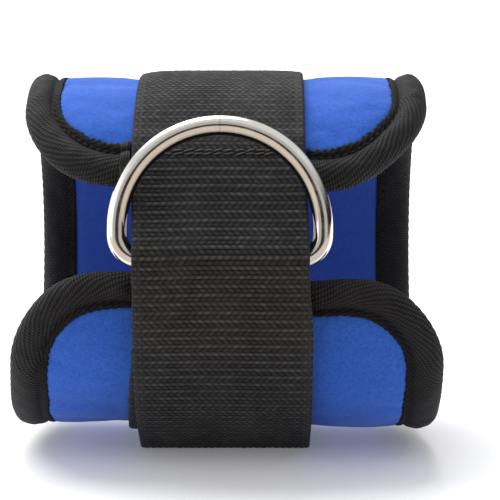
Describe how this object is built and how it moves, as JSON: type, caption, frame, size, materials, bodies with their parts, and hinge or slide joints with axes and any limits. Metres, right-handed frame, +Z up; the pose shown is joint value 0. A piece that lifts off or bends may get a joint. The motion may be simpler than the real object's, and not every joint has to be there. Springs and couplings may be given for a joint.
{
  "type": "ankle cuff",
  "caption": "Padded ankle cuff with a webbing strap that passes through a metal D-ring and folds back to close, for clipping a cable or band to the ankle",
  "frame": {"origin": "centre of the bounding box in X and Y, on the surface the cuff lies on", "axes": "+X along the cuff's axis, -Y the side with the gap between the flaps and the ring, +Z up"},
  "size_m": [0.12, 0.1178, 0.1135],
  "materials": {
    "cover_blue": "matt knitted nylon over neoprene foam",
    "lining_blue": "matt brushed nylon",
    "foam": "closed-cell foam, hidden",
    "binding_black": "ribbed binding tape, slight sheen",
    "webbing_black": "woven nylon webbing, slight sheen",
    "hook_loop_black": "hook-and-loop pile",
    "thread_dark": "twisted polyester thread",
    "thread_light": "twisted polyester thread, shiny",
    "plated_steel": "bright plated"
  },
  "bodies": {
    "cuff": {"outer_cover": "cover_blue", "foam_core": "foam", "inner_lining": "lining_blue", "edge_binding": "binding_black", "binding_end_tab": "binding_black", "binding_stitching": "thread_dark", "body_webbing": "webbing_black", "anchor_stitching": "thread_light", "ring_keeper": "webbing_black", "keeper_stitching": "thread_dark", "loop_patch": "hook_loop_black", "loop_stitching": "thread_dark"},
    "ring": {"d_ring": "plated_steel"},
    "tail": {"strap_tail": "webbing_black", "hook_patch": "hook_loop_black", "hook_stitching": "thread_dark"}
  },
  "joints": [
    {"name": "ring_swing", "type": "hinge", "parent": "cuff", "child": "ring", "pos_m": [-0.0017, -0.05264, 0.06456], "axis": [1, 0, 0], "range_deg": [0, 90]},
    {"name": "strap_peel", "type": "hinge", "parent": "cuff", "child": "tail", "pos_m": [-0.0017, -0.05799, 0.06288], "axis": [-1, 0, 0], "range_deg": [0, 75]}
  ]
}
